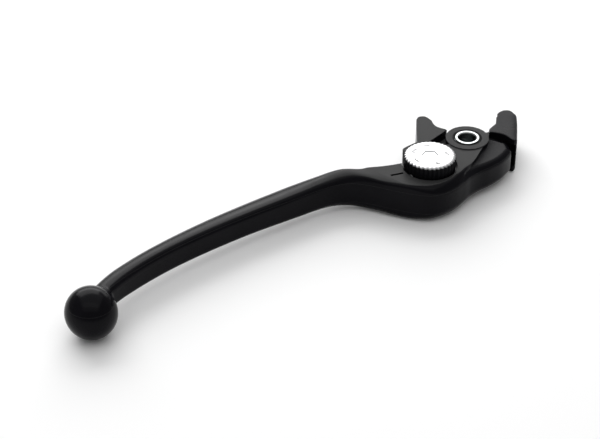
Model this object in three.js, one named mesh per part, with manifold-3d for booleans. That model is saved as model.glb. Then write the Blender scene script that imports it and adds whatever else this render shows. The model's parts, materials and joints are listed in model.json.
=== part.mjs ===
// Motorcycle clutch lever with a reach dial: a cast blade and a knocker that share one pivot bush.
// Millimetres. Origin on the pivot axis at the lever's mid-plane, +Z along the pivot axis,
// -X out along the blade to the ball end, +Y forwards, away from the rider.
import * as THREE from "three";
import { mergeVertices } from "three/addons/utils/BufferGeometryUtils.js";
import Module from "manifold-3d";

const wasm = await Module();
wasm.setup();

// ---- driving dimensions ------------------------------------------------------------------
const BALL_DIAMETER = 20.5;
const BALL_X = -182.9;
const BALL_Y = 0.5;
const BALL_SQUASH = 0.97;

const HEAD_TOP = 8;                 // machined faces of the blade's ears and of the knocker
const BOSS_RADIUS = 8.95;
const BOSS_TOP = 8.4;
const SLOT_HALF = 4.9;              // half the gap between the blade's two ears
const SKIRT_TOP = 5.75;
const CAST_ROUND = 4.2;             // edge radius of the blade's cast head

const BUSH_RADIUS = 5.4;
const BUSH_BORE = 3.8;
const BUSH_HALF = 8.6;
const RUNNING_GAP = 0.08;
const SEAL_RADIUS = 6.1;
const SEAL_DEPTH = 1.2;
const SEAL_BOTTOM = BOSS_TOP - SEAL_DEPTH + 0.2;
const SEAL_TOP = BOSS_TOP - 0.1;
const LINER_RADIUS = 6.5;
const HUB_RADIUS = 9.3;
const HUB_HALF = 4.5;
const SLOT_RADIUS = 11.2;           // the ears' slot, round the knocker's hub
const WASHER_RADIUS = 8.2;
const WASHER_INNER = 4.0;
const WASHER_OUTER = 4.75;

const DIAL_X = -25.6;
const DIAL_Y = -6.3;
const DIAL_RADIUS = 10.7;
const DIAL_TOP = 13;
const DIAL_BOTTOM = 7.3;
const DIAL_LOBES = 36;
const DIAL_LOBE_DEPTH = 0.45;
const POCKET_RADIUS = 11.4;
const POCKET_FLOOR = 6.7;
const SHAFT_RADIUS = 2.5;
const SHAFT_HEX = 3.2;              // hexagon's corner radius
const SHAFT_HEX_TURN = THREE.MathUtils.degToRad(24);
const SHAFT_END = -8;

const CAM_REST_RADIUS = 5.3;        // spiral cam where it meets the follower, dial at position 3
const CAM_HALF = 2.6;
const DIAL_MIN_DEG = -150;
const DIAL_MAX_DEG = 120;
const REACH_RATIO = -0.02;          // blade angle per dial angle
const FOLLOWER_RADIUS = 1.5;
const FOLLOWER_GAP = 0.3;

const DETENT_REACH = 9.1;           // detent ball from the dial's axis
const DETENT_BALL = 1.2;
const DETENT_BORE = 1.35;
const DETENT_FLOOR = 0.6;

const SPRING_X = -17.2;
const SPRING_BORE = 2.3;
const SPRING_BORE_END = -18.6;
const ARM_REAR_Y = -12.6;
const CUP_RADIUS = 2.1;
const CUP_LENGTH = 4.2;
const CUP_GAP = 0.2;
const CUP_TRAVEL = 0.8;             // room that the spring leaves for the cup's inward travel

// ---- materials ---------------------------------------------------------------------------
const paintedBlack = { color: 0x0b0b0d, roughness: 0.28, metalness: 0.0 };
const castBlack = { color: 0x15151a, roughness: 0.42, metalness: 0.0 };
const zinc = { color: 0xd9dcdc, roughness: 0.25, metalness: 1.0 };
const polished = { color: 0xe8e8ea, roughness: 0.15, metalness: 1.0 };
const steel = { color: 0x8c8f92, roughness: 0.35, metalness: 1.0 };
const bronze = { color: 0x9a6b34, roughness: 0.4, metalness: 1.0 };
const rubber = { color: 0x0c0c0c, roughness: 0.8, metalness: 0.0 };

// ---- solids ------------------------------------------------------------------------------
function toSolid(geometry) {
  const bare = geometry.index ? geometry.toNonIndexed() : geometry.clone();
  bare.deleteAttribute("normal");
  bare.deleteAttribute("uv");
  const merged = mergeVertices(bare, 1e-4);
  return new wasm.Manifold(new wasm.Mesh({
    numProp: 3,
    vertProperties: new Float32Array(merged.attributes.position.array),
    triVerts: new Uint32Array(merged.index.array),
  }));
}

function toGeometry(solid) {
  const mesh = solid.getMesh();
  const geometry = new THREE.BufferGeometry();
  geometry.setAttribute("position", new THREE.BufferAttribute(new Float32Array(mesh.vertProperties), 3));
  geometry.setIndex(new THREE.BufferAttribute(new Uint32Array(mesh.triVerts), 1));
  return geometry;
}

function join(...solids) {
  return solids.reduce((whole, piece) => whole.add(piece));
}

function cut(solid, ...tools) {
  return tools.reduce((rest, tool) => rest.subtract(tool), solid);
}

// The rounding can fold over itself in an outline's tight corners, so the specks it leaves are dropped.
function largestBody(solid) {
  return solid.decompose().reduce((best, piece) => (piece.volume() > best.volume() ? piece : best));
}

// An outline pushed up from bottom to top.
function plate(shape, bottom, top, curveSegments = 8) {
  const geometry = new THREE.ExtrudeGeometry(shape, { depth: top - bottom, bevelEnabled: false, curveSegments });
  geometry.translate(0, 0, bottom);
  return toSolid(geometry);
}

// A plate whose upper and lower edges are rounded, as a casting's are.
function roundedPlate(shape, half, round, curveSegments) {
  const outline = shape.getPoints(curveSegments).slice(0, -1);
  const count = outline.length;
  const outward = outline.map((point, i) => {
    const before = outline[(i + count - 1) % count];
    const after = outline[(i + 1) % count];
    return new THREE.Vector2(after.y - before.y, before.x - after.x).normalize();
  });
  const steps = 3;
  const rings = [];
  for (const side of [-1, 1]) {
    for (let i = 0; i <= steps; i += 1) {
      const angle = ((side < 0 ? i : steps - i) * Math.PI) / 2 / steps;
      const inset = round * (1 - Math.sin(angle));
      const height = side * (half - round + round * Math.cos(angle));
      rings.push(outline.map((point, j) => (
        new THREE.Vector3(point.x - inset * outward[j].x, point.y - inset * outward[j].y, height))));
    }
  }
  return loft(rings, outline);
}

// A turned solid: profile points are [radius, height], from the axis and back to it, anticlockwise.
function turned(profile, x, y, segments = 32) {
  const points = profile.map(([radius, height]) => new THREE.Vector2(radius, height));
  const geometry = new THREE.LatheGeometry(points, segments);
  geometry.rotateX(Math.PI / 2);
  geometry.translate(x, y, 0);
  return toSolid(geometry);
}

function disc(radius, bottom, top, x = 0, y = 0, segments = 32) {
  return turned([[0, bottom], [radius, bottom], [radius, top], [0, top]], x, y, segments);
}

// A washer, sleeve or ring, with small chamfers where chamfer is given.
function ring(inner, outer, bottom, top, chamfer = 0, x = 0, y = 0, segments = 32) {
  const profile = [
    [inner, bottom + chamfer],
    [inner + chamfer, bottom],
    [outer - chamfer, bottom],
    [outer, bottom + chamfer],
    [outer, top - chamfer],
    [outer - chamfer, top],
    [inner + chamfer, top],
    [inner, top - chamfer],
    [inner, bottom + chamfer],
  ];
  const distinct = profile.filter(([r, z], i) => i === 0 || r !== profile[i - 1][0] || z !== profile[i - 1][1]);
  return turned(distinct, x, y, segments);
}

// A closed outline: corners joined by straight lines.
function polygon(points) {
  return new THREE.Shape(points.map(([x, y]) => new THREE.Vector2(x, y)));
}

// A closed outline that is smooth through its points, apart from those listed as a corner.
function smoothOutline(runs) {
  const shape = new THREE.Shape();
  shape.moveTo(...runs[0][0]);
  for (const run of runs) {
    if (run.length === 2) {
      shape.lineTo(...run[1]);
    } else {
      shape.splineThru(run.slice(1).map(([x, y]) => new THREE.Vector2(x, y)));
    }
  }
  return shape;
}

function regularPolygon(sides, radius, turn, x, y) {
  const corners = [];
  for (let i = 0; i < sides; i += 1) {
    const angle = turn + (i * 2 * Math.PI) / sides;
    corners.push([x + radius * Math.cos(angle), y + radius * Math.sin(angle)]);
  }
  return polygon(corners);
}

// A skin through rings of points, anticlockwise seen from the last one. The ends are closed by the
// triangles of endOutline, a flat outline with the same number of points.
function loft(rings, endOutline) {
  const count = rings[0].length;
  const positions = rings.flat().flatMap((p) => [p.x, p.y, p.z]);
  const indices = [];
  for (let i = 0; i + 1 < rings.length; i += 1) {
    for (let j = 0; j < count; j += 1) {
      const a = i * count + j;
      const b = i * count + ((j + 1) % count);
      indices.push(a, b, a + count, b, b + count, a + count);
    }
  }
  const top = (rings.length - 1) * count;
  for (const [a, b, c] of THREE.ShapeUtils.triangulateShape(endOutline, [])) {
    indices.push(c, b, a, top + a, top + b, top + c);
  }
  const geometry = new THREE.BufferGeometry();
  geometry.setAttribute("position", new THREE.Float32BufferAttribute(positions, 3));
  geometry.setIndex(indices);
  return toSolid(geometry);
}

// A coil spring along +Z from bottom to top.
class Helix extends THREE.Curve {
  constructor(radius, bottom, top, turns) {
    super();
    Object.assign(this, { radius, bottom, top, turns });
  }

  getPoint(t) {
    const angle = t * this.turns * 2 * Math.PI;
    const height = this.bottom + t * (this.top - this.bottom);
    return new THREE.Vector3(this.radius * Math.cos(angle), this.radius * Math.sin(angle), height);
  }
}

function coilSpring(radius, wire, bottom, top, turns) {
  return new THREE.ExtrudeGeometry(regularPolygon(6, wire, 0, 0, 0), {
    steps: Math.round(turns * 12),
    bevelEnabled: false,
    extrudePath: new Helix(radius, bottom + wire, top - wire, turns),
  });
}

// ---- blade -------------------------------------------------------------------------------
// Stations along the finger blade: x, rider-side face, depth forwards, half height, crown of the
// rider-side face, and the power of the superellipse that rounds the front side.
const BLADE_STATIONS = [
  [-177, 0.7, 9.8, 4.3, 1.4, 2.25],
  [-172, 2.9, 10.0, 4.7, 1.5, 2.25],
  [-166, 5.05, 10.1, 5.0, 1.6, 2.25],
  [-160, 6.65, 10.0, 5.2, 1.6, 2.25],
  [-151, 8.55, 9.95, 5.35, 1.6, 2.25],
  [-140, 10.05, 10.1, 5.35, 1.6, 2.25],
  [-128, 10.85, 10.6, 5.35, 1.6, 2.25],
  [-114, 11.15, 11.2, 5.35, 1.6, 2.25],
  [-100, 10.95, 11.7, 5.4, 1.6, 2.25],
  [-88, 10.35, 12.15, 5.6, 1.6, 2.25],
  [-78, 9.65, 12.4, 5.95, 1.6, 2.25],
  [-70, 8.65, 12.5, 6.5, 1.6, 2.25],
  [-64, 7.5, 12.6, 7.2, 1.6, 2.25],
  [-59.5, 6.2, 12.6, 8.0, 1.6, 2.4],
  [-55.5, 3.4, 13.4, 8.5, 2.4, 2.8],
  [-51.5, -2.6, 15.6, 8.7, 4.0, 3.4],
  [-47, -10.4, 17.2, 7.6, 5.4, 4.5],
];

function bladeRing([x, face, depth, half, crown, power]) {
  const points = [];
  const frontSteps = 14;
  for (let i = 0; i <= frontSteps; i += 1) {
    const angle = -Math.PI / 2 + (i * Math.PI) / frontSteps;
    const across = Math.abs(Math.cos(angle)) ** (2 / power);
    const up = Math.sign(Math.sin(angle)) * Math.abs(Math.sin(angle)) ** (2 / power);
    points.push(new THREE.Vector3(x, face + crown + (depth - crown) * across, half * up));
  }
  for (const up of [0.85, 0.6, 0, -0.6, -0.85]) {
    points.push(new THREE.Vector3(x, face + crown * Math.abs(up) ** 3, half * up));
  }
  return points;
}

function fingerBlade() {
  const curves = [1, 2, 3, 4, 5].map((column) => new THREE.CatmullRomCurve3(
    BLADE_STATIONS.map((station) => new THREE.Vector3(station[0], station[column], 0)),
  ));
  const rings = [];
  const steps = 32;
  for (let i = 0; i <= steps; i += 1) {
    const t = i / steps;
    const x = curves[0].getPoint(t).x;
    rings.push(bladeRing([x, ...curves.map((curve) => curve.getPoint(t).y)]));
  }
  const blade = loft(rings, rings[0].map((point) => new THREE.Vector2(point.y, point.z)));
  const milled = plate(polygon([[-66, -30], [-40, -30], [-40, 30], [-66, 30]]), HEAD_TOP, HEAD_TOP + 4);
  const milledBelow = milled.translate([0, 0, -2 * HEAD_TOP - 4]);
  return cut(blade, milled, milledBelow);
}

function ballEnd() {
  const geometry = new THREE.SphereGeometry(BALL_DIAMETER / 2, 28, 18);
  geometry.rotateX(Math.PI / 2);
  geometry.scale(BALL_SQUASH, 1, 1);
  geometry.translate(BALL_X, BALL_Y, 0);
  return toSolid(geometry);
}

// The head seen from above, rider side first, then the front edge, which the dial hides in part.
const HEAD_OUTLINE = [
  [[-51.5, -3.0], [-46.4, -11.5], [-42, -17.0], [-36.8, -20.8], [-31, -22.4]],
  [[-31, -22.4], [-25, -22.4], [-19, -21.1], [-14, -19.4]],
  [[-14, -19.4], [-9, -18.7], [-3, -18.8], [3, -18.1], [7.6, -16.6], [11.0, -14.6]],
  [[11.0, -14.6], [11.9, -12.8]],
  [[11.9, -12.8], [11.8, -10.2], [10.4, -6.6], [8.6, -3.6]],
  [[8.6, -3.6], [6, 1.4]],
  [[6, 1.4], [-31, 1.4]],
  [[-31, 1.4], [-34, 1.8]],
  [[-34, 1.8], [-39, 3.6], [-44, 6.0], [-48.8, 8.6], [-51.5, 9.9]],
  [[-51.5, 9.9], [-51.5, -3.0]],
];
// The front edge is machined, so it stays sharp.
const FRONT_EDGE = [[-52, 9.6], [-50, 3], [-40, -6], [5, -6], [6, 1.4], [-31, 1.4],
  [-34, 1.8], [-39, 3.6], [-44, 6.0], [-47.6, 8.0]];
// Beyond this line the head steps down to the skirt round the rider side of the pivot.
const STEP_LINE = [[-24, -24.4], [-21, -20.4], [-16.6, -18.1], [-11.5, -15.9], [-7.1, -13.8], [-1.7, -10.6],
  [4.2, -7.1], [7.4, -4.6], [9.2, -1.6], [12, 0]];

function headBody() {
  const cast = roundedPlate(smoothOutline(HEAD_OUTLINE), HEAD_TOP, CAST_ROUND, 4);
  const front = plate(polygon(FRONT_EDGE), -HEAD_TOP, HEAD_TOP);
  const boss = disc(BOSS_RADIUS, -BOSS_TOP, BOSS_TOP, 0, 0, 40);
  const beyondStep = polygon([...STEP_LINE, [30, -30], [-24, -30]]);
  const upperStep = plate(beyondStep, SKIRT_TOP, HEAD_TOP + 1);
  const lowerStep = plate(beyondStep, -HEAD_TOP - 1, -SKIRT_TOP);
  return cut(join(cast, front, boss), upperStep, lowerStep);
}

// The space between the ears: hub, drive arm and cam run in it, open to the front and inboard.
function earSlot() {
  const shape = new THREE.Shape();
  shape.moveTo(-32.6, 14);
  shape.lineTo(-32.6, -15.8);
  shape.quadraticCurveTo(-32.4, -18.2, -30, -18.2);
  shape.lineTo(-25.6, -18.2);
  shape.lineTo(-20.4, -16.4);
  shape.lineTo(-9.2, -15);
  shape.absarc(0, 0, SLOT_RADIUS, Math.PI + 1.1, 2 * Math.PI - 0.55, false);
  shape.lineTo(24, -7);
  shape.lineTo(24, 14);
  shape.closePath();
  return plate(shape, -SLOT_HALF, SLOT_HALF, 14);
}

function indexMark() {
  const mark = new THREE.BoxGeometry(5, 0.8, 1);
  mark.rotateZ(THREE.MathUtils.degToRad(-17.5));
  mark.translate(-40.7, -3.7, HEAD_TOP);
  return toSolid(mark);
}

function leverBlade() {
  const shaftBore = disc(SHAFT_RADIUS + 0.12, -12, 12, DIAL_X, DIAL_Y, 24);
  const pivotBore = disc(BUSH_RADIUS + RUNNING_GAP, -12, 12, 0, 0, 40);
  const upperSeat = disc(SEAL_RADIUS + RUNNING_GAP, BOSS_TOP - SEAL_DEPTH, 12, 0, 0, 40);
  const lowerSeat = disc(SEAL_RADIUS + RUNNING_GAP, -12, SEAL_DEPTH - BOSS_TOP, 0, 0, 40);
  const dialPocket = disc(POCKET_RADIUS, POCKET_FLOOR, 12, DIAL_X, DIAL_Y, 48);
  const clipPocket = disc(4.6, -12, 1.6 - HEAD_TOP, DIAL_X, DIAL_Y, 24);
  const detentBore = disc(DETENT_BORE, DETENT_FLOOR, 12, DIAL_X - DETENT_REACH, DIAL_Y, 16);
  const spring = new THREE.CylinderGeometry(SPRING_BORE, SPRING_BORE, 8, 20);
  spring.translate(SPRING_X, SPRING_BORE_END + 4, 0);
  const hubClearance = disc(SLOT_RADIUS, -SLOT_HALF, SLOT_HALF, 0, 0, 40);
  const body = largestBody(join(fingerBlade(), ballEnd(), headBody()));
  return cut(body, earSlot(), hubClearance, toSolid(spring), dialPocket, clipPocket, detentBore,
    shaftBore, pivotBore, upperSeat, lowerSeat, indexMark());
}

// ---- knocker -----------------------------------------------------------------------------
// Tab and front rail, full height, outside the blade's ears.
const TAB_OUTLINE = [
  [[-12.6, 7.7], [-3.6, 9.8], [-2.7, 10.8]],
  [[-2.7, 10.8], [-3.9, 13.3], [-4.4, 15.3], [-3.9, 17.8], [-3.1, 19.9]],
  [[-3.1, 19.9], [-3.0, 22.5]],
  [[-3.0, 22.5], [-3.5, 24.3], [-5.7, 25.4], [-7.9, 24.3]],
  [[-7.9, 24.3], [-18.9, 10.5]],
  [[-18.9, 10.5], [-25.6, 10.1], [-27.6, 8.6], [-27.6, 6.4]],
  [[-27.6, 6.4], [-20, 5.9], [-12.6, 7.7]],
];
// Hook inboard of the pivot: its front-left face is where the clutch push rod bears.
const HOOK_OUTLINE = [
  [[10.8, -1.6], [12.2, -0.1], [14.4, 0.8], [17.4, 1.7]],
  [[17.4, 1.7], [21.9, 6.3]],
  [[21.9, 6.3], [24.4, 7.7], [27.4, 7.6], [29.5, 5.6], [29.4, 2.4]],
  [[29.4, 2.4], [26.7, -1.3], [22.5, -6.2], [18.0, -11.4]],
  [[18.0, -11.4], [16.8, -12.6], [15.3, -12.7], [14.8, -11.6]],
  [[14.8, -11.6], [14.6, -7.8], [13.2, -4.6], [10.8, -1.6]],
];

// The arm reaches behind the cam to the follower pin; the preload spring pushes on its flat back.
function driveArm() {
  const tip = DIAL_Y - CAM_REST_RADIUS - 1;
  return polygon([[-7.6, 4.6], [-8.8, -3], [-13.6, -5.2], [-17.6, -8.2], [-20.6, tip + 0.6], [-22.8, tip],
    [-28, tip], [-29.2, tip - 1.1], [-29, tip - 2.9], [-27.8, tip - 3.5], [-23.6, tip - 3.3],
    [-19.9, ARM_REAR_Y], [-14.8, ARM_REAR_Y], [-8.2, -10.4], [-4.5, -8.1], [0, 0]]);
}

// The hook's tail is hollowed at mid-height, so that it passes over and under the blade's skirt.
function skirtRelief() {
  const outline = polygon([[10, -15], [15.6, -14.5], [16.5, -11.2], [19.3, -7.9], [18.2, -6.4], [14.5, -6], [10, -8]]);
  return plate(outline, -SKIRT_TOP + 0.5, SKIRT_TOP - 0.5);
}

function knocker() {
  const hub = disc(HUB_RADIUS, -HUB_HALF, HUB_HALF, 0, 0, 48);
  const arm = plate(driveArm(), -HUB_HALF, HUB_HALF);
  const web = plate(polygon([[-8.9, 0], [-13, 7], [-14, 9.2], [-4, 10.2], [4, 8]]), -HUB_HALF, HUB_HALF);
  const hookWeb = plate(polygon([[3, 7], [9, 4], [16, 2.2], [18, -4], [14.6, -4.6], [9, -2.4]]), -HUB_HALF, HUB_HALF);
  const tab = plate(smoothOutline(TAB_OUTLINE), -HEAD_TOP, HEAD_TOP, 4);
  const hook = plate(smoothOutline(HOOK_OUTLINE), -HEAD_TOP, HEAD_TOP, 4);
  const seat = disc(1.5, -4.2, HEAD_TOP + 1, 21.2, 7.0, 16);
  const linerBore = disc(LINER_RADIUS + RUNNING_GAP, -12, 12, 0, 0, 40);
  const upperRecess = disc(WASHER_RADIUS + 0.15, WASHER_INNER - 0.08, 12, 0, 0, 40);
  const lowerRecess = disc(WASHER_RADIUS + 0.15, -12, 0.08 - WASHER_INNER, 0, 0, 40);
  const followerY = DIAL_Y - CAM_REST_RADIUS - FOLLOWER_GAP - FOLLOWER_RADIUS;
  const pinBore = disc(FOLLOWER_RADIUS + RUNNING_GAP, -12, 12, DIAL_X, followerY, 20);
  const body = cut(join(hub, arm, web, tab, hook), skirtRelief());
  return cut(join(body, hookWeb), linerBore, upperRecess, lowerRecess, pinBore, seat);
}

// ---- dial, shaft and cam -----------------------------------------------------------------
function dialBody() {
  const points = [];
  const perLobe = 4;
  for (let i = 0; i < DIAL_LOBES * perLobe; i += 1) {
    const angle = (i * 2 * Math.PI) / (DIAL_LOBES * perLobe);
    const radius = DIAL_RADIUS - DIAL_LOBE_DEPTH * (0.5 - 0.5 * Math.cos(angle * DIAL_LOBES)) ** 2;
    points.push([DIAL_X + radius * Math.cos(angle), DIAL_Y + radius * Math.sin(angle)]);
  }
  const knurled = plate(polygon(points), DIAL_BOTTOM, DIAL_TOP);
  const cone = turned([[0, 0], [DIAL_RADIUS + 1, 0], [DIAL_RADIUS + 1, DIAL_TOP - 1.2],
    [DIAL_RADIUS - 0.9, DIAL_TOP + 0.1], [0, DIAL_TOP + 0.1]], DIAL_X, DIAL_Y, 48);
  const hexHole = plate(regularPolygon(6, SHAFT_HEX + 0.12, SHAFT_HEX_TURN, DIAL_X, DIAL_Y), 0, 20);
  const underside = disc(6.4, 0, 7.75, DIAL_X, DIAL_Y, 32);
  return cut(knurled.intersect(cone), hexHole, underside);
}

function dialShaft() {
  const head = plate(regularPolygon(6, SHAFT_HEX, SHAFT_HEX_TURN, DIAL_X, DIAL_Y), 7.9, DIAL_TOP - 0.25);
  const groove = ring(SHAFT_RADIUS - 0.5, SHAFT_RADIUS + 1, -7.6, -7.05, 0, DIAL_X, DIAL_Y, 24);
  const bar = disc(SHAFT_RADIUS, SHAFT_END, 8.2, DIAL_X, DIAL_Y, 24);
  const crossHole = new THREE.CylinderGeometry(0.68, 0.68, 12, 12);
  crossHole.rotateZ(Math.PI / 2);
  crossHole.translate(DIAL_X, DIAL_Y, 0);
  return cut(join(head, bar), groove, toSolid(crossHole));
}

// The cam's radius grows with the dial's turn, so the blade swings in step with the dial.
function camRadius(dialDeg) {
  const reach = -DIAL_X * Math.tan(THREE.MathUtils.degToRad(REACH_RATIO * dialDeg));
  return CAM_REST_RADIUS - reach;
}

function reachCam() {
  const points = [];
  const margin = 12;
  for (let turn = DIAL_MIN_DEG - margin; turn <= DIAL_MAX_DEG + margin; turn += 7) {
    const angle = THREE.MathUtils.degToRad(-90 - turn);
    const radius = camRadius(turn);
    points.unshift([DIAL_X + radius * Math.cos(angle), DIAL_Y + radius * Math.sin(angle)]);
  }
  const bore = disc(SHAFT_RADIUS + RUNNING_GAP, -9, 9, DIAL_X, DIAL_Y, 24);
  const crossHole = new THREE.CylinderGeometry(0.68, 0.68, 20, 12);
  crossHole.rotateZ(Math.PI / 2);
  crossHole.translate(DIAL_X, DIAL_Y, 0);
  return cut(plate(polygon(points), -CAM_HALF, CAM_HALF), bore, toSolid(crossHole));
}

function camPin() {
  const pin = new THREE.CylinderGeometry(0.6, 0.6, 7.4, 12);
  pin.rotateZ(Math.PI / 2);
  pin.translate(DIAL_X, DIAL_Y, 0);
  return pin;
}

// ---- small hardware ----------------------------------------------------------------------
function circlip() {
  const outline = new THREE.Shape();
  outline.absarc(0, 0, 3.7, 0.35, 2 * Math.PI - 0.35, false);
  outline.absarc(0, 0, 2.15, 2 * Math.PI - 0.6, 0.6, true);
  outline.closePath();
  const geometry = new THREE.ExtrudeGeometry(outline, { depth: 0.4, bevelEnabled: false, curveSegments: 14 });
  geometry.translate(DIAL_X, DIAL_Y, -7.5);
  return geometry;
}

function waveWasher() {
  const rings = [];
  const steps = 36;
  const inner = 3.9;
  const outer = 5.6;
  for (let i = 0; i < steps; i += 1) {
    const angle = (i * 2 * Math.PI) / steps;
    const lift = 7.1 + 0.18 * Math.cos(3 * angle);
    rings.push([[inner, lift], [outer, lift], [outer, lift + 0.25], [inner, lift + 0.25]].map(([r, z]) => (
      [DIAL_X + r * Math.cos(angle), DIAL_Y + r * Math.sin(angle), z])));
  }
  const indices = [];
  for (let i = 0; i < steps; i += 1) {
    const next = (i + 1) % steps;
    for (let j = 0; j < 4; j += 1) {
      const k = (j + 1) % 4;
      indices.push(i * 4 + j, next * 4 + j, i * 4 + k, next * 4 + j, next * 4 + k, i * 4 + k);
    }
  }
  const geometry = new THREE.BufferGeometry();
  geometry.setAttribute("position", new THREE.Float32BufferAttribute(rings.flat(2), 3));
  geometry.setIndex(indices);
  return geometry;
}

function detentBall() {
  const geometry = new THREE.SphereGeometry(DETENT_BALL, 16, 10);
  geometry.translate(DIAL_X - DETENT_REACH, DIAL_Y, DIAL_BOTTOM - DETENT_BALL - 0.05);
  return geometry;
}

function detentSpring() {
  const geometry = coilSpring(0.85, 0.22, DETENT_FLOOR + 0.1, DIAL_BOTTOM - 2 * DETENT_BALL - 0.15, 5);
  geometry.translate(DIAL_X - DETENT_REACH, DIAL_Y, 0);
  return geometry;
}

function preloadSpring() {
  const geometry = coilSpring(1.2, 0.25, SPRING_BORE_END + 0.1, ARM_REAR_Y - CUP_GAP - 0.75 - CUP_TRAVEL, 3.5);
  geometry.rotateX(-Math.PI / 2);
  geometry.translate(SPRING_X, 0, 0);
  return geometry;
}

function springCup() {
  const wall = 0.5;
  const geometry = new THREE.LatheGeometry([[0, 0], [CUP_RADIUS, 0], [CUP_RADIUS, -CUP_LENGTH],
    [CUP_RADIUS - wall, -CUP_LENGTH], [CUP_RADIUS - wall, -0.7], [0, -0.7]].reverse()
    .map(([radius, height]) => new THREE.Vector2(radius, height)), 24);
  geometry.translate(SPRING_X, ARM_REAR_Y - CUP_GAP, 0);
  return geometry;
}

function followerPin() {
  const followerY = DIAL_Y - CAM_REST_RADIUS - FOLLOWER_GAP - FOLLOWER_RADIUS;
  return disc(FOLLOWER_RADIUS, -HUB_HALF, HUB_HALF, DIAL_X, followerY, 20);
}

// ---- assembly ----------------------------------------------------------------------------
const lever = new THREE.Group();

function addPiece(name, shape, look) {
  const geometry = shape.isBufferGeometry ? shape : toGeometry(shape);
  const mesh = new THREE.Mesh(geometry, new THREE.MeshStandardMaterial(look));
  mesh.name = name;
  lever.add(mesh);
}

addPiece("lever_blade", leverBlade(), paintedBlack);
addPiece("knocker", knocker(), castBlack);
addPiece("pivot_bush", ring(BUSH_BORE, BUSH_RADIUS, -BUSH_HALF, BUSH_HALF, 0.3, 0, 0, 48), zinc);
addPiece("knocker_liner", ring(BUSH_RADIUS + RUNNING_GAP, LINER_RADIUS, -3.8, 3.8, 0, 0, 0, 40), bronze);
addPiece("upper_thrust_washer", ring(BUSH_RADIUS + 0.2, WASHER_RADIUS, WASHER_INNER, WASHER_OUTER), steel);
addPiece("lower_thrust_washer", ring(BUSH_RADIUS + 0.2, WASHER_RADIUS, -WASHER_OUTER, -WASHER_INNER), steel);
addPiece("upper_dust_seal", ring(BUSH_RADIUS + RUNNING_GAP, SEAL_RADIUS, SEAL_BOTTOM, SEAL_TOP), rubber);
addPiece("lower_dust_seal", ring(BUSH_RADIUS + RUNNING_GAP, SEAL_RADIUS, -SEAL_TOP, -SEAL_BOTTOM), rubber);
addPiece("adjuster_dial", dialBody(), polished);
addPiece("dial_shaft", dialShaft(), zinc);
addPiece("reach_cam", reachCam(), steel);
addPiece("cam_drive_pin", camPin(), steel);
addPiece("wave_washer", waveWasher(), steel);
addPiece("shaft_washer", ring(SHAFT_RADIUS + 0.1, 4.2, -7.0, -6.5, 0, DIAL_X, DIAL_Y, 24), steel);
addPiece("shaft_circlip", circlip(), steel);
addPiece("detent_ball", detentBall(), steel);
addPiece("detent_spring", detentSpring(), steel);
addPiece("preload_spring", preloadSpring(), steel);
addPiece("spring_cup", springCup(), steel);
addPiece("follower_pin", followerPin(), steel);

export default lever;
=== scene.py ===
import bmesh
import bpy
import json
import math
import numpy as np
from mathutils import Matrix, Vector


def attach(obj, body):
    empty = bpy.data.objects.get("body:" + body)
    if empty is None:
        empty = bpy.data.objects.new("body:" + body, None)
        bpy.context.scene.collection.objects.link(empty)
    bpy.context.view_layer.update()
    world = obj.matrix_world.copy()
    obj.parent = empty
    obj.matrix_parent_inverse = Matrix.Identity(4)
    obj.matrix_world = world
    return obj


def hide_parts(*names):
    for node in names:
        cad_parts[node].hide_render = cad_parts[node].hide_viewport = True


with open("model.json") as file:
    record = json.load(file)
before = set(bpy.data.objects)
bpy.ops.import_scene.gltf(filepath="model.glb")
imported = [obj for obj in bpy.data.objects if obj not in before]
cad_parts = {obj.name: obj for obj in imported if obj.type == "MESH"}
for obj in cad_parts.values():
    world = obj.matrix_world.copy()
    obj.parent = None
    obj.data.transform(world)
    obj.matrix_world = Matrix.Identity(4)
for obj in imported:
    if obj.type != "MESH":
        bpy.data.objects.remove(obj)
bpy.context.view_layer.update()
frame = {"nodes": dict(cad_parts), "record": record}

# All shapes below are in millimetres in the part's frame: origin on the pivot axis, +Z along it,
# -X out to the ball end, +Y forwards. They become metres when their mesh is made. The castings
# are mirrored about z = 0, and most heights count from there.
MM = 0.001

HEAD_TOP = 8.0                              # the milled face of both castings
BOSS = (8.95, 8.4)                          # radius, top
BUSH = (5.4, 3.8, 8.6)                      # radius, bore radius, half length
BUSH_PLAY = 0.08
SEAL = (6.18, 7.2)                          # seat radius, seat floor
SLOT_HALF = 4.9                             # half the height between the ears
SLOT_RADIUS = 11.2                          # room round the knocker's hub
DIAL = (-25.6, -6.3)                        # axis of the dial, its shaft and the cam
DIAL_RADIUS = 10.7
DIAL_SPAN = (7.3, 13.0)                     # underside, top
POCKET = (11.4, 6.7)                        # under the dial: radius, floor
SHAFT_BORE = 2.62
SHAFT_RECESS = (4.6, -6.4)                  # for the shaft's washer: radius, roof
SHAFT_HEX = (3.42, 24)                      # corner radius, turn in degrees
DETENT_BORE = (DIAL[0] - 9.1, 1.35, 0.6)    # x, radius, floor
SPRING_BORE = (-17.2, 2.3, -10, -18.6)      # x, radius, and y of its mouth and its end
CUT_EDGE = 0.25                             # radius of machined edges inside the blade


# ---- fields -------------------------------------------------------------------------------
# A field is negative inside its solid, and about the distance to its surface in millimetres.
def smin(a, b, k):
    h = np.maximum(k - np.abs(a - b), 0.0)
    return np.minimum(a, b) - h * h * (0.25 / k)


def smax(a, b, k):
    h = np.maximum(k - np.abs(a - b), 0.0)
    return np.maximum(a, b) + h * h * (0.25 / k)


def hermite(t):
    """Weights of a cubic's first value, first slope, last value and last slope."""
    return 2 * t**3 - 3 * t**2 + 1, t**3 - 2 * t**2 + t, 3 * t**2 - 2 * t**3, t**3 - t**2


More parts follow.
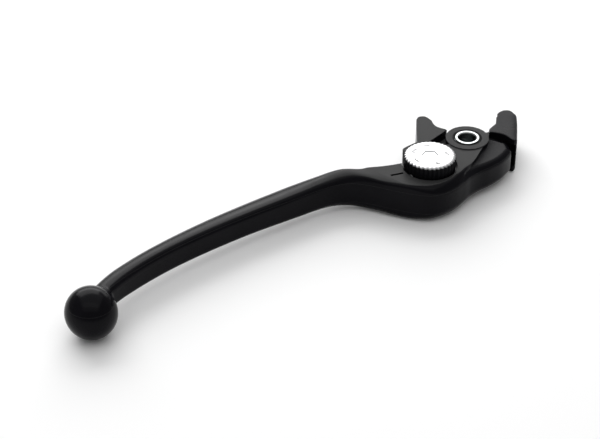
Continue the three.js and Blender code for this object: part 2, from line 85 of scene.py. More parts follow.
def curve(*points, steps=6):
    """A smooth curve through the points, as a list of points."""
    pts = np.array(points, float)
    before = np.vstack([2 * pts[0] - pts[1], pts[:-1]])
    after = np.vstack([pts[1:], 2 * pts[-1] - pts[-2]])
    slope = (after - before) / 2
    out = []
    for a, b, m, n in zip(pts[:-1], pts[1:], slope[:-1], slope[1:]):
        for t in np.linspace(0, 1, steps, endpoint=False):
            h = hermite(t)
            out.append(h[0] * a + h[1] * m + h[2] * b + h[3] * n)
    return out + [pts[-1]]


def outline(*runs):
    """A closed outline of curves and lists of corners, without its repeated points."""
    points = np.vstack([np.array(run, float) for run in runs])
    moved = points - np.roll(points, 1, axis=0)
    return points[np.hypot(moved[:, 0], moved[:, 1]) > 1e-6]


def flat(x, y, shape):
    """Signed distance from an outline in plan."""
    best = np.full(np.broadcast(x, y).shape, 1e9)
    inside = np.zeros(best.shape, bool)
    for (ax, ay), (bx, by) in zip(shape, np.roll(shape, -1, axis=0)):
        ex, ey = bx - ax, by - ay
        t = np.clip(((x - ax) * ex + (y - ay) * ey) / (ex * ex + ey * ey), 0, 1)
        best = np.minimum(best, (x - ax - t * ex) ** 2 + (y - ay - t * ey) ** 2)
        if by != ay:
            inside ^= ((y > ay) != (y > by)) & (x < ax + ex * (y - ay) / ey)
    return np.where(inside, -1.0, 1.0) * np.sqrt(best)


def disc(x, y, cx, cy, radius):
    return np.hypot(x - cx, y - cy) - radius


def smooth_step(t):
    t = np.clip(t, 0, 1)
    return t * t * (3 - 2 * t)


def across(x, start, end):
    """Goes smoothly from 0 at the start to 1 at the end."""
    return smooth_step((x - start) / (end - start))


def rounded(side, cap, radius):
    """A prism from its side and cap distances, with that edge radius."""
    a = np.maximum(side + radius, 0)
    b = np.maximum(cap + radius, 0)
    return np.minimum(np.maximum(side, cap) + radius, 0) + np.hypot(a, b) - radius


def carved(body, cuts, edge):
    for tool in cuts:
        body = smax(body, -tool, edge)
    return body


def along(table):
    """Smooth columns of a table over its first column."""
    xs = np.array([row[0] for row in table], float)
    columns = []
    for i in range(1, len(table[0])):
        ys = np.array([row[i] for row in table], float)
        columns.append((ys, np.gradient(ys, xs)))

    def read(x):
        i = np.clip(np.searchsorted(xs, x) - 1, 0, len(xs) - 2)
        span = xs[i + 1] - xs[i]
        h = hermite(np.clip((x - xs[i]) / span, 0, 1))
        return [h[0] * ys[i] + h[1] * span * slope[i] + h[2] * ys[i + 1]
                + h[3] * span * slope[i + 1] for ys, slope in columns]

    return read


# ---- surfaces from fields -----------------------------------------------------------------
BISECTIONS = 12      # halvings that find where a grid line meets the surface
WEAK_SLOPE = 0.06    # share of the strongest direction below which a direction is ignored
CELL_MARGIN = 0.1    # how far a point may leave its cell, in cells
SHARP_ANGLE = 32     # degrees between faces that make a sharp edge


def put(name, data):
    """A new object in the scene."""
    piece = bpy.data.objects.new(name, data)
    bpy.context.scene.collection.objects.link(piece)
    return piece


def slopes(field, p, step=0.02):
    """The field's unit gradient at the points."""
    g = np.empty_like(p)
    for axis in range(3):
        a, b = p.copy(), p.copy()
        a[:, axis] += step
        b[:, axis] -= step
        g[:, axis] = field(a[:, 0], a[:, 1], a[:, 2]) - field(b[:, 0], b[:, 1], b[:, 2])
    length = np.linalg.norm(g, axis=1, keepdims=True)
    return g / np.maximum(length, 1e-12)


def crossings(field, inside, low, cell):
    """Where grid lines meet the surface, and the four cells round each of those points."""
    strides = np.array([inside.shape[1] * inside.shape[2], inside.shape[2], 1])
    points, quads = [], []
    for axis in range(3):
        a = np.moveaxis(inside, axis, 0)
        hit = np.argwhere(a[:-1] != a[1:])
        index = hit[:, ([0, 1, 2], [1, 0, 2], [1, 2, 0])[axis]]
        start = low + cell * index
        unit = np.zeros(3)
        unit[axis] = cell
        near, far = np.zeros(len(index)), np.ones(len(index))
        sign = inside[tuple(index.T)]
        for _ in range(BISECTIONS):
            middle = (near + far) / 2
            q = start + middle[:, None] * unit
            same = (field(q[:, 0], q[:, 1], q[:, 2]) < 0) == sign
            near = np.where(same, middle, near)
            far = np.where(same, far, middle)
        points.append(start + ((near + far) / 2)[:, None] * unit)
        u, v = [k for k in range(3) if k != axis]
        around = []
        for du, dv in ((0, 0), (-1, 0), (-1, -1), (0, -1)):
            beside = index.copy()
            beside[:, u] += du
            beside[:, v] += dv
            around.append(beside @ strides)
        quad = np.stack(around, 1)
        outward = sign if axis != 1 else ~sign
        quads.append(np.where(outward[:, None], quad, quad[:, ::-1]))
    return np.vstack(points), np.concatenate(quads)


def skin(name, field, low, high, cell):
    """A mesh of the field's surface. Each cell's point is set from the surface's slopes there,
    so machined edges stay sharp."""
    low = np.array(low, float)
    size = [int(math.ceil((b - a) / cell)) + 1 for a, b in zip(low, high)]
    axes = [low[i] + cell * np.arange(size[i]) for i in range(3)]
    value = field(axes[0][:, None, None], axes[1][None, :, None], axes[2][None, None, :])
    points, quads = crossings(field, np.broadcast_to(value, size) < 0, low, cell)
    normals = slopes(field, points)
    ids, inverse = np.unique(quads.ravel(), return_inverse=True)
    count = len(ids)
    which = np.repeat(np.arange(len(points)), 4)
    p, n = points[which], normals[which]

    def total(weights):
        return np.bincount(inverse, weights, count)

    many = total(None)
    centre = np.stack([total(p[:, i]) / many for i in range(3)], 1)
    rel = np.einsum("ij,ij->i", n, p - centre[inverse])
    right = np.stack([total(n[:, i] * rel) for i in range(3)], 1)
    left = np.empty((count, 3, 3))
    for i in range(3):
        for j in range(i, 3):
            left[:, i, j] = left[:, j, i] = total(n[:, i] * n[:, j])
    strength, basis = np.linalg.eigh(left)
    strong = strength > WEAK_SLOPE * strength[:, 2:3]
    scale = np.where(strong, 1 / np.maximum(strength, 1e-9), 0)
    shift = np.einsum("nij,nj,nkj,nk->ni", basis, scale, basis, right)
    corner = np.stack(np.unravel_index(ids, size), 1) * cell + low
    vertex = np.clip(centre + shift, corner - CELL_MARGIN * cell,
                     corner + (1 + CELL_MARGIN) * cell)
    faces = inverse.reshape(quads.shape)
    mesh = bpy.data.meshes.new(name)
    mesh.vertices.add(count)
    mesh.vertices.foreach_set("co", (vertex * MM).astype(np.float32).ravel())
    mesh.loops.add(faces.size)
    mesh.loops.foreach_set("vertex_index", faces.astype(np.int32).ravel())
    mesh.polygons.add(len(faces))
    mesh.polygons.foreach_set("loop_start", np.arange(0, faces.size, 4, dtype=np.int32))
    mesh.update(calc_edges=True)
    mesh.validate()
    return soften(put(name, mesh), SHARP_ANGLE)


def soften(piece, degrees):
    piece.data.shade_smooth()
    piece.data.set_sharp_from_angle(angle=math.radians(degrees))
    return piece


# ---- lever blade --------------------------------------------------------------------------
BALL = (-182.9, 0.5, 10.25, 0.97)   # x, y, radius, squash along x
BALL_FILLET = 2.6
FINGER_END = -178
# Along the finger blade: x, rider-side face, depth forwards, half height, chamfer of the
# rider-side face, power of the front side's superellipse, dip of the top at the rider side.
FINGER = [
    (-178, 0.25, 9.8, 4.2, 1.4, 2.25, 0), (-172, 2.9, 10.0, 4.7, 1.5, 2.25, 0),
    (-166, 5.05, 10.1, 5.0, 1.6, 2.25, 0), (-160, 6.65, 10.0, 5.2, 1.6, 2.25, 0),
    (-151, 8.55, 9.95, 5.35, 1.6, 2.25, 0), (-140, 10.05, 10.1, 5.35, 1.6, 2.25, 0),
    (-128, 10.85, 10.6, 5.35, 1.6, 2.25, 0), (-114, 11.15, 11.2, 5.35, 1.6, 2.25, 0),
    (-100, 10.95, 11.7, 5.4, 1.6, 2.25, 0), (-88, 10.35, 12.15, 5.6, 1.6, 2.25, 0),
    (-78, 9.85, 12.2, 5.95, 1.6, 2.25, 0.15), (-70, 9.4, 11.75, 6.5, 1.6, 2.25, 0.7),
    (-64, 8.7, 11.4, 7.2, 1.6, 2.25, 1.2), (-59.5, 7.45, 11.35, 8.0, 1.6, 2.4, 1.7),
    (-55.5, 5.1, 11.7, 8.5, 1.6, 2.8, 1.9), (-51.5, 0.5, 12.5, 8.7, 1.5, 3.4, 1.8),
    (-47, -6.3, 13.1, 8.7, 1.2, 4.5, 1.2),
]
finger_at = along(FINGER)
CHAMFER_RISE = 0.95                 # of the chamfer, up the rider-side face
CHAMFER_EDGE = 0.7
SLANT = 0.707                       # a 45 degree plane's share along each axis
CROWN_EDGE = 0.55                   # between the chamfer and the rounded front side
DIP_WIDTH = 4.0                     # how fast the dips fade forwards
NECK = (-52.5, -46.5)               # where the finger blends into the head
MILLED_FROM = -66                   # the finger keeps its cast top beyond this x

NEAR_SIDE = curve(
    (-50.5, -1.3), (-45.1, -9.7), (-40.9, -15.6), (-36.4, -20.2), (-31, -22.3), (-25, -22.4),
    (-19, -21.1), (-14, -19.5), (-9, -18.8), (-3, -18.8), (3, -18.2), (7.6, -16.9),
    (11.6, -15.2))
INBOARD_SIDE = curve((11.6, -15.2), (13.0, -13.6), (13.0, -10.9), (11.0, -6.8), (8.6, -3.6))
FRONT_SIDE = curve((-34, 1.8), (-39, 3.6), (-44, 6.0), (-48.8, 8.6), (-51.5, 9.9))
# HEAD bounds the machined front and the inboard side, CAST_SIDE the cast rider side. Both run
# well past the head elsewhere.
HEAD = outline(INBOARD_SIDE, [(6, 1.4), (-31, 1.4)], FRONT_SIDE,
               [(-60, 14), (-60, -40), (-10, -40)])
CAST_SIDE = outline(NEAR_SIDE, [(38, 28), (-60, 30), (-60, 9)])
STEP = curve((-24, -24.4), (-21, -20.4), (-16.6, -18.1), (-11.5, -15.9), (-7.1, -13.8),
             (-1.7, -10.6), (4.2, -7.1), (7.4, -4.6), (9.2, -1.6), (12, 0))
BEYOND_STEP = outline(STEP, [(40, -30), (-24, -40)])
EAR_SLOT = outline([(-32.6, 20)], curve((-32.6, -15.8), (-32.2, -17.4), (-30, -18.2)),
                   [(-25.6, -18.2), (-20.4, -16.4), (-9.2, -15), (-5.1, -10), (9.4, -5.9),
                    (24, -7), (24, 20)])
STEP_WIDTH = (0.3, 3.7)             # half width of the step, beside the pivot and at the belly
STEP_FADE = (-16.5, -22.5)          # x where it changes from one to the other
HEAD_CAP = 8.4                      # height of the cast head before milling
HEAD_FLANK = (8.6, 1.3, 0.6)        # HEAD's height, its edge radius, blend into the casting
SKIRT_CAP = 5.75
SKIRT_RISE = (0.85, 4.0)            # of its top towards the step: height, width
SKIRT_EDGE = 2.8
# Along the head: x, edge radius of the casting, dip of its top at the rider side.
HEAD_EDGE = [
    (-53, 1.2, 1.8), (-49, 1.2, 1.6), (-45.5, 1.3, 0.9), (-42, 2.0, 0.3), (-38, 3.5, 0),
    (-33, 4.8, 0), (-28, 5.2, 0),
]
head_edge_at = along(HEAD_EDGE)
MILLED_EDGE = 0.3
BOSS_EDGE = 0.15


def finger(x, y, z):
    face, depth, half, chamfer, power, dip = finger_at(x)
    half = half - dip * np.exp(-np.maximum(y - face, 0) / DIP_WIDTH)
    up = np.abs(z) / half
    forward = np.maximum(y - face - chamfer, 0) / (depth - chamfer)
    front = ((forward**power + up**power) ** (1 / power) - 1) * half
    bevel = (face - y + np.abs(z) - (half - CHAMFER_RISE * chamfer)) * SLANT
    near = smax(face - y, bevel, CHAMFER_EDGE)
    return np.maximum(smax(front, near, CROWN_EDGE), FINGER_END - x)


def blade_casting(x, y, z):
    high = np.abs(z)
    # The skirt is cast lower than the head. The step between them is sharp beside the pivot and
    # fades out towards the belly.
    fade = STEP_WIDTH[0] + (STEP_WIDTH[1] - STEP_WIDTH[0]) * across(x, *STEP_FADE)
    beyond = flat(x, y, BEYOND_STEP)
    on_head = smooth_step(0.5 + 0.5 * beyond / fade)
    side = flat(x, y, CAST_SIDE)
    head_edge, dip = head_edge_at(x)
    top = HEAD_CAP - dip * np.exp(np.minimum(side, 0) / DIP_WIDTH)
    skirt = SKIRT_CAP + SKIRT_RISE[0] * np.exp(np.minimum(beyond, 0) / SKIRT_RISE[1])
    cap = skirt + (top - skirt) * on_head
    edge = SKIRT_EDGE + (head_edge - SKIRT_EDGE) * on_head
    flank_cap, flank_edge, flank_blend = HEAD_FLANK
    flank = rounded(flat(x, y, HEAD), high - flank_cap, flank_edge)
    head = smax(rounded(side, high - cap, edge), flank, flank_blend)
    neck = across(x, *NECK)
    body = finger(x, y, z) * (1 - neck) + head * neck
    bx, by, radius, squash = BALL
    ball = np.sqrt(((x - bx) / squash) ** 2 + (y - by) ** 2 + z * z) - radius
    return smin(body, ball, BALL_FILLET)


def lever_blade(x, y, z):
    high = np.abs(z)
    body = smax(blade_casting(x, y, z), np.minimum(high - HEAD_TOP, x - MILLED_FROM), MILLED_EDGE)
    body = np.minimum(body, rounded(disc(x, y, 0, 0, BOSS[0]), high - BOSS[1], BOSS_EDGE))
    slot = np.minimum(flat(x, y, EAR_SLOT), disc(x, y, 0, 0, SLOT_RADIUS))
    detent_x, detent_radius, detent_floor = DETENT_BORE
    spring_x, spring_radius, mouth, end = SPRING_BORE
    spring = np.hypot(x - spring_x, z) - spring_radius
    return carved(body, [
        np.maximum(slot, high - SLOT_HALF),
        disc(x, y, 0, 0, BUSH[0] + BUSH_PLAY) + 0 * z,
        np.maximum(disc(x, y, 0, 0, SEAL[0]), SEAL[1] - high),
        np.maximum(disc(x, y, *DIAL, POCKET[0]), POCKET[1] - z),
        np.maximum(disc(x, y, *DIAL, SHAFT_RECESS[0]), z - SHAFT_RECESS[1]),
        disc(x, y, *DIAL, SHAFT_BORE) + 0 * z,
        np.maximum(disc(x, y, detent_x, DIAL[1], detent_radius), detent_floor - z),
        np.maximum(spring, np.maximum(y - mouth, end - y)),
    ], CUT_EDGE)


# ---- knocker ------------------------------------------------------------------------------
TAB = outline(
    curve((-12.6, 7.7), (-3.3, 9.9), (-2.4, 10.9)),
    curve((-2.4, 10.9), (-3.6, 13.4), (-4.1, 15.4), (-3.6, 17.9), (-2.7, 19.9)),
    curve((-2.6, 22.5), (-3.1, 24.3), (-5.3, 25.4), (-7.5, 24.3)),
    curve((-18.4, 10.5), (-25.6, 10.1), (-27.6, 8.6), (-27.6, 6.4)),
    curve((-27.6, 6.4), (-20, 5.9), (-12.6, 7.7)))
HOOK = outline(
    curve((10.8, -1.6), (12.2, -0.1), (14.4, 0.8), (17.4, 1.7)),
    curve((21.9, 6.3), (24.6, 7.8), (27.8, 7.7), (30.0, 5.5), (29.8, 2.2)),
    curve((29.8, 2.2), (27.0, -1.4), (22.7, -6.3), (18.0, -11.4)),
    curve((18.0, -11.4), (16.8, -12.6), (15.3, -12.7), (14.8, -11.6)),
    curve((14.8, -11.6), (14.6, -7.8), (13.2, -4.6), (10.8, -1.6)))
# The hook's top falls away a little towards its inboard side. This outline follows that side
# only.
HOOK_FALL = outline(
    curve((31.9, 15), (31.1, 9), (30.2, 4.6), (29.7, 2.1), (27.0, -1.4), (22.7, -6.3),
          (18.0, -11.4), (16, -14)),
    [(0, -20), (0, 20), (31.4, 15)])
CAM_CLEAR_Y = DIAL[1] - 6.3         # the arm keeps behind this line, where the cam turns
ARM_REAR_Y = -12.6
ARM = outline([
    (-7.6, 4.6), (-8.8, -3), (-13.6, -5.2), (-17.6, -8.2), (-20.6, CAM_CLEAR_Y + 0.6),
    (-22.8, CAM_CLEAR_Y), (-28, CAM_CLEAR_Y), (-29.2, CAM_CLEAR_Y - 1.1),
    (-29, CAM_CLEAR_Y - 2.9), (-27.8, CAM_CLEAR_Y - 3.5), (-23.6, CAM_CLEAR_Y - 3.3),
    (-19.9, ARM_REAR_Y), (-14.8, ARM_REAR_Y), (-8.2, -10.4), (-4.5, -8.1), (0, 0)])
TAB_WEB = outline([(-8.9, 0), (-13, 7), (-14, 9.2), (-4, 10.2), (4, 8)])
HOOK_WEB = outline([(3, 7), (9, 4), (16, 2.2), (18, -4), (14.6, -4.6), (9, -2.4)])
# The relief leaves a thin wall at the hook's tail, clear of the skirt.
RELIEF = outline([(10, -15), (15.6, -14.5), (16.5, -11.2), (19.3, -7.9), (18.2, -6.4),
                  (14.5, -6), (10, -8)])
RELIEF_TOP = 5.25
HUB = (9.3, 4.5)                    # radius, half height
HUB_FILLET = 1.5                    # between hub, arm and webs
CORE_EDGE = 0.3
LIMB_FILLET = 0.8                   # where tab and hook meet the core
TAB_EDGE = 0.35
HOOK_CAP = (8.3, 0.5)               # height and edge radius of the hook before milling
HOOK_DROP = (8.35, 0.8, 3.0, 1.1)   # height, its fall at the inboard side, width, edge radius
HOOK_BLEND = 0.4
LINER_BORE = 6.58
WASHER_SEAT = (8.35, 3.92)          # radius, floor
FOLLOWER_BORE = (-13.4, 1.58)       # y, radius
ROD_SEAT = (21.2, 7.0, 1.5, -4.2)   # x, y, radius, floor
KNOCKER_CUT_EDGE = 0.2


def knocker(x, y, z):
    high = np.abs(z)
    tab = rounded(flat(x, y, TAB), high - HEAD_TOP, TAB_EDGE)
    cap, drop, width, edge = HOOK_DROP
    fall = flat(x, y, HOOK_FALL)
    sloped = rounded(fall, high - cap + drop * np.exp(np.minimum(fall, 0) / width), edge)
    hook = rounded(flat(x, y, HOOK), high - HOOK_CAP[0], HOOK_CAP[1])
    hook = smax(smax(hook, sloped, HOOK_BLEND), high - HEAD_TOP, MILLED_EDGE)
    hook = carved(hook, [np.maximum(flat(x, y, RELIEF), high - RELIEF_TOP)], MILLED_EDGE)
    webs = np.minimum(flat(x, y, TAB_WEB), flat(x, y, HOOK_WEB))
    inner = smin(disc(x, y, 0, 0, HUB[0]), np.minimum(flat(x, y, ARM), webs), HUB_FILLET)
    core = rounded(inner + 0 * z, high - HUB[1], CORE_EDGE)
    body = smin(smin(tab, core, LIMB_FILLET), hook, LIMB_FILLET)
    rod_x, rod_y, rod_radius, rod_floor = ROD_SEAT
    return carved(body, [
        disc(x, y, 0, 0, LINER_BORE) + 0 * z,
        np.maximum(disc(x, y, 0, 0, WASHER_SEAT[0]), WASHER_SEAT[1] - high),
        disc(x, y, DIAL[0], *FOLLOWER_BORE) + 0 * z,
        np.maximum(disc(x, y, rod_x, rod_y, rod_radius), rod_floor - z),
    ], KNOCKER_CUT_EDGE)


# ---- dial, bush and index mark ------------------------------------------------------------
# These are made and carved in millimetres, then shrunk to metres.
TURNED_ANGLE = 24                   # degrees between faces that make a sharp edge on them
KNURLS = 36
KNURL_DEPTH = 0.5
KNURL_POWER = 1.6                   # above 1 it makes the ribs broader than the grooves
KNURL_BAND = 1.2                    # how far in from the rim the knurls reach
DIAL_SEGMENTS = 360
DIAL_FOOT = ((4.3, 0.02), (0.5, 0), (0, 0.45))     # in from the rim, up from the underside
DIAL_RIM = ((0, 1.0), (0.12, 0.62), (0.42, 0.28), (0.85, 0.1), (1.25, 0.02), (1.6, 0))  # in, down
BUSH_SEGMENTS = 128
BUSH_CHAMFER = ((0, 0.45), (0.15, 0.2), (0.3, 0))  # out from the bore, in from the end
BUSH_STEP = ((0.5, 0), (0.38, 0.12), (0.35, 1.0), (0, 1.1))  # in from the side and from the end
DIGITS = (("1", 60), ("2", 118), ("3", 179), ("4", 255), ("5", 328))  # degrees round the dial
DIGIT_REACH = 6.9                   # from the dial's axis
DIGIT_HEIGHT = 2.7
DIGIT_DEPTH = 0.3
TOOL_ROOM = 0.5                     # how far the digits' tools stand above the face
FONT_RATIO = 1.42                   # font size for a digit one unit high
MARK = ((-40.7, -3.7), -17.5)       # centre, turn in degrees
MARK_HALF = (2.7, 0.55)
MARK_SPAN = (7.2, 9.0)              # floor of the mark, top of its tool
HEX_SPAN = (0, 20)                  # the hole goes right through the dial


def lathe(name, profile, segments, centre=(0, 0), closed=True, radius_of=None):
    """A turned piece through (radius, height) points, with an optional lobed radius."""
    vertices, faces = [], []
    count = len(profile)
    for i in range(segments):
        angle = 2 * math.pi * i / segments
        for r, z in profile:
            reach = radius_of(r, angle) if radius_of else r
            vertices.append((centre[0] + reach * math.cos(angle),
                             centre[1] + reach * math.sin(angle), z))
    for i in range(segments):
        j = (i + 1) % segments
        for k in range(count if closed else count - 1):
            m = (k + 1) % count
            faces.append((i * count + k, j * count + k, j * count + m, i * count + m))
    if not closed:
        faces.append([i * count for i in reversed(range(segments))])
        faces.append([i * count + count - 1 for i in range(segments)])
    mesh = bpy.data.meshes.new(name)
    mesh.from_pydata(vertices, [], faces)
    mesh.validate()
    return put(name, mesh)


def prism(name, points, bottom, top):
    """An upright prism through plan points, anticlockwise."""
    count = len(points)
    vertices = [(x, y, z) for z in (bottom, top) for x, y in points]
    faces = [tuple(reversed(range(count))), tuple(range(count, 2 * count))]
    faces += [(i, (i + 1) % count, count + (i + 1) % count, count + i) for i in range(count)]
    mesh = bpy.data.meshes.new(name)
    mesh.from_pydata(vertices, [], faces)
    return put(name, mesh)


def shrink(piece):
    piece.data.transform(Matrix.Scale(MM, 4))
    return piece


def carve(piece, *tools):
    for tool in tools:
        step = piece.modifiers.new("carve", "BOOLEAN")
        step.operation = "DIFFERENCE"
        step.solver = "EXACT"
        step.object = tool
        graph = bpy.context.evaluated_depsgraph_get()
        made = bpy.data.meshes.new_from_object(piece.evaluated_get(graph))
        piece.modifiers.clear()
        piece.data = made
        bpy.data.objects.remove(tool)
    return piece


def digit(character, angle, bottom, top):
    """A solid digit on the dial, whose foot points back round it."""
    font = bpy.data.curves.new("digit", "FONT")
    font.body = character
    font.size = DIGIT_HEIGHT * FONT_RATIO
    font.align_x = "CENTER"
    font.align_y = "CENTER"
    font.extrude = (top - bottom) / 2
    font.resolution_u = 4
    text = put("digit", font)
    turn = math.radians(angle)
    text.rotation_euler = (0, 0, turn)
    text.location = (DIAL[0] + DIGIT_REACH * math.cos(turn),
                     DIAL[1] + DIGIT_REACH * math.sin(turn), (bottom + top) / 2)
    bpy.context.view_layer.update()
    mesh = bpy.data.meshes.new_from_object(text)
    mesh.transform(text.matrix_world)
    bpy.data.objects.remove(text)
    # The text's front, back and sides share no vertices until they are welded.
    welded = bmesh.new()
    welded.from_mesh(mesh)
    bmesh.ops.remove_doubles(welded, verts=welded.verts, dist=0.001)
    welded.to_mesh(mesh)
    welded.free()
    return put("digit_solid", mesh)


def hexagon():
    """Corners of the shaft's hexagon."""
    radius, turn = SHAFT_HEX
    angles = [math.radians(turn + 60 * i) for i in range(6)]
    return [(DIAL[0] + radius * math.cos(a), DIAL[1] + radius * math.sin(a)) for a in angles]


def knurl(radius, angle):
    if radius < DIAL_RADIUS - KNURL_BAND:
        return radius
    return radius - KNURL_DEPTH * (0.5 - 0.5 * math.cos(KNURLS * angle)) ** KNURL_POWER


def dial():
    bottom, top = DIAL_SPAN
    profile = [(DIAL_RADIUS - inward, bottom + up) for inward, up in DIAL_FOOT]
    profile += [(DIAL_RADIUS - inward, top - down) for inward, down in DIAL_RIM]
    body = lathe("dial_body", profile, DIAL_SEGMENTS, DIAL, closed=False, radius_of=knurl)
    tools = [prism("hex", hexagon(), *HEX_SPAN)]
    for character, angle in DIGITS:
        tools.append(digit(character, angle, top - DIGIT_DEPTH, top + TOOL_ROOM))
    return soften(shrink(carve(body, *tools)), TURNED_ANGLE)


def bush():
    """The bush, with a chamfered bore and a step down round each end."""
    radius, bore, half = BUSH
    profile = [(bore + outward, -half + inward) for outward, inward in BUSH_CHAMFER]
    profile += [(radius - narrower, -half + inward) for narrower, inward in BUSH_STEP]
    profile += [(r, -z) for r, z in reversed(profile)]
    return soften(shrink(lathe("bush", profile, BUSH_SEGMENTS)), TURNED_ANGLE)


def index_mark():
    """The tool that mills the short mark beside the dial."""
    (x, y), turn = MARK
    a, b = MARK_HALF
    tool = prism("mark", [(a, -b), (a, b), (-a, b), (-a, -b)], *MARK_SPAN)
    turned = Matrix.Rotation(math.radians(turn), 4, "Z")
    tool.data.transform(Matrix.Translation((x, y, 0)) @ turned)
    return shrink(tool)


# ---- materials ----------------------------------------------------------------------------
COAT = (0.0032, 0.003, 0.0042)
MILLED = (0.029, 0.029, 0.0293)
MILLED_ROUGH = 0.42
COAT_GLOSS = 0.07                   # specular level of the coat and the milled faces
# Each pair is where a part of a look starts and where it is full, in millimetres except LEVEL.
FULL_TOP = (HEAD_TOP - 0.07, HEAD_TOP - 0.02)   # height of the milled faces
HEAD_START = (-72, -52)                         # x
HOOK_START = (9.8, 10.2)                        # x beyond which there are none
NECK_CROWN = (5.6, 6.2)                         # height of the cast top that counts as one
NECK_END = (-47, -41)                           # x beyond which it doesn't
LEVEL = (0.8, 0.96)                             # upward part of a level face's normal
HUB_FACE = (HUB[1], 0.03)                       # height of the hub's faces, and its tolerance
TOP = DIAL_SPAN[1]
DIAL_SHADE_TOP = (TOP - 0.66, TOP - 0.58)          # height where the dial's metal top ends and its side, painted shade, begins
DIAL_SUNK = (TOP - 0.14, TOP - 0.08)            # floors of the digits lie under this height
DIGIT_RING = (8.8, 8.9)                         # radius that the digits stay inside


class Look:
    """A material, and the nodes that feed its shader."""

    def __init__(self, name):
        self.material = bpy.data.materials.new(name)
        self.material.use_nodes = True
        self.nodes = self.material.node_tree.nodes
        self.links = self.material.node_tree.links
        self.shader = self.nodes["Principled BSDF"]
        self.place = self.nodes.new("ShaderNodeTexCoord").outputs["Object"]
        self.x, self.y, self.z = self.split(self.place)

    def feed(self, socket, value):
        """Link a socket to an output, or set it to a value."""
        if isinstance(value, bpy.types.NodeSocket):
            self.links.new(value, socket)
        else:
            socket.default_value = value

    def shade(self, **inputs):
        """Feed the shader's inputs, whose names are given with _ for a space."""
        for name, value in inputs.items():
            self.feed(self.shader.inputs[name.replace("_", " ")], value)

    def made(self, kind, output, inputs, **settings):
        """An output of a new node with these settings and inputs."""
        node = self.nodes.new("ShaderNode" + kind)
        for name, value in settings.items():
            setattr(node, name, value)
        for key, value in inputs.items():
            self.feed(node.inputs[key], value)
        return node.outputs[output]

    def split(self, vector):
        node = self.nodes.new("ShaderNodeSeparateXYZ")
        self.links.new(vector, node.inputs[0])
        return node.outputs

    def noise(self, scale, detail, stretch=(1, 1, 1)):
        placed = self.made("Mapping", "Vector", {"Vector": self.place, "Scale": stretch})
        return self.made("TexNoise", "Fac", {"Vector": placed, "Scale": scale, "Detail": detail})

    def ramp(self, value, low, high, start=0.35, end=0.65):
        return self.made("MapRange", "Result", {
            "Value": value, "From Min": start, "From Max": end, "To Min": low, "To Max": high})

    def over(self, value, span):
        """0 before a span in millimetres and 1 after it."""
        return self.ramp(value, 0.0, 1.0, span[0] * MM, span[1] * MM)

    def under(self, value, span):
        """1 before a span in millimetres and 0 after it."""
        return self.ramp(value, 1.0, 0.0, span[0] * MM, span[1] * MM)

    def colour(self, factor, first, second):
        first, second = [(*c, 1) if isinstance(c, tuple) else c for c in (first, second)]
        return self.made("Mix", 2, {0: factor, 6: first, 7: second}, data_type="RGBA")

    def between(self, factor, first, second):
        return self.made("Mix", 0, {0: factor, 2: first, 3: second})

    def compute(self, operation, *values):
        return self.made("Math", 0, dict(enumerate(values)), operation=operation)

    def bump(self, height, distance, strength, below=None):
        """A relief that is so many millimetres deep, on top of the one below."""
        inputs = {"Height": height, "Distance": distance * MM, "Strength": strength}
        if below is not None:
            inputs["Normal"] = below
        normal = self.made("Bump", "Normal", inputs)
        self.shade(Normal=normal)
        return normal

    def rings(self, centre, pitch):
        """Turning marks round an upright axis, and the distance from it."""
        dx = self.compute("SUBTRACT", self.x, centre[0] * MM)
        dy = self.compute("SUBTRACT", self.y, centre[1] * MM)
        square = self.compute("ADD", self.compute("MULTIPLY", dx, dx),
                              self.compute("MULTIPLY", dy, dy))
        radius = self.compute("SQRT", square)
        inputs = {"W": radius, "Scale": 1 / (pitch * MM), "Detail": 2}
        return self.made("TexNoise", "Fac", inputs, noise_dimensions="1D"), radius


def tinted(colour, factor):
    return tuple(c * factor for c in colour)


def coated_casting(name, coat_rough, grain_height):
    """Black coat over a casting, with bare faces on the head's top and at the hub's height."""
    look = Look(name)
    height = look.compute("ABSOLUTE", look.z)
    normal = look.split(look.nodes.new("ShaderNodeNewGeometry").outputs["Normal"])
    level = look.ramp(look.compute("ABSOLUTE", normal[2]), 0.0, 1.0, *LEVEL)
    crown = look.compute("MULTIPLY", level, look.over(height, NECK_CROWN))
    crown = look.compute("MULTIPLY", crown, look.under(look.x, NECK_END))
    on_top = look.compute("MAXIMUM", look.over(height, FULL_TOP), crown)
    on_head = look.compute("MULTIPLY", look.over(look.x, HEAD_START),
                           look.under(look.x, HOOK_START))
    hub_face = look.compute("COMPARE", height, HUB_FACE[0] * MM, HUB_FACE[1] * MM)
    bare = look.compute("MAXIMUM", look.compute("MULTIPLY", on_top, on_head), hub_face)
    cloud = look.noise(90, 4)
    lines = look.noise(260, 3, (1, 14, 1))
    coat = look.colour(look.ramp(cloud, 0, 1), COAT, tinted(COAT, 1.35))
    metal = look.colour(look.ramp(lines, 0, 1, 0.3, 0.7), MILLED, tinted(MILLED, 1.16))
    rough = look.between(bare, look.ramp(cloud, coat_rough - 0.03, coat_rough + 0.05),
                         look.ramp(lines, MILLED_ROUGH - 0.04, MILLED_ROUGH + 0.06))
    look.shade(Base_Color=look.colour(bare, coat, metal), Roughness=rough,
               Specular_IOR_Level=COAT_GLOSS)
    peel = look.bump(look.noise(420, 3), 0.03, 0.4)
    look.bump(look.noise(2600, 2), grain_height, 0.5, peel)
    return look.material


def turned_metal(name, colour, rough, centre):
    look = Look(name)
    marks, _ = look.rings(centre, 0.12)
    cloud = look.ramp(look.noise(400, 3), 0, 1)
    look.shade(Metallic=1.0, Base_Color=look.colour(cloud, tinted(colour, 0.86), colour),
               Roughness=look.ramp(marks, rough * 0.8, rough * 1.3))
    look.bump(marks, 0.004, 0.4)
    return look.material


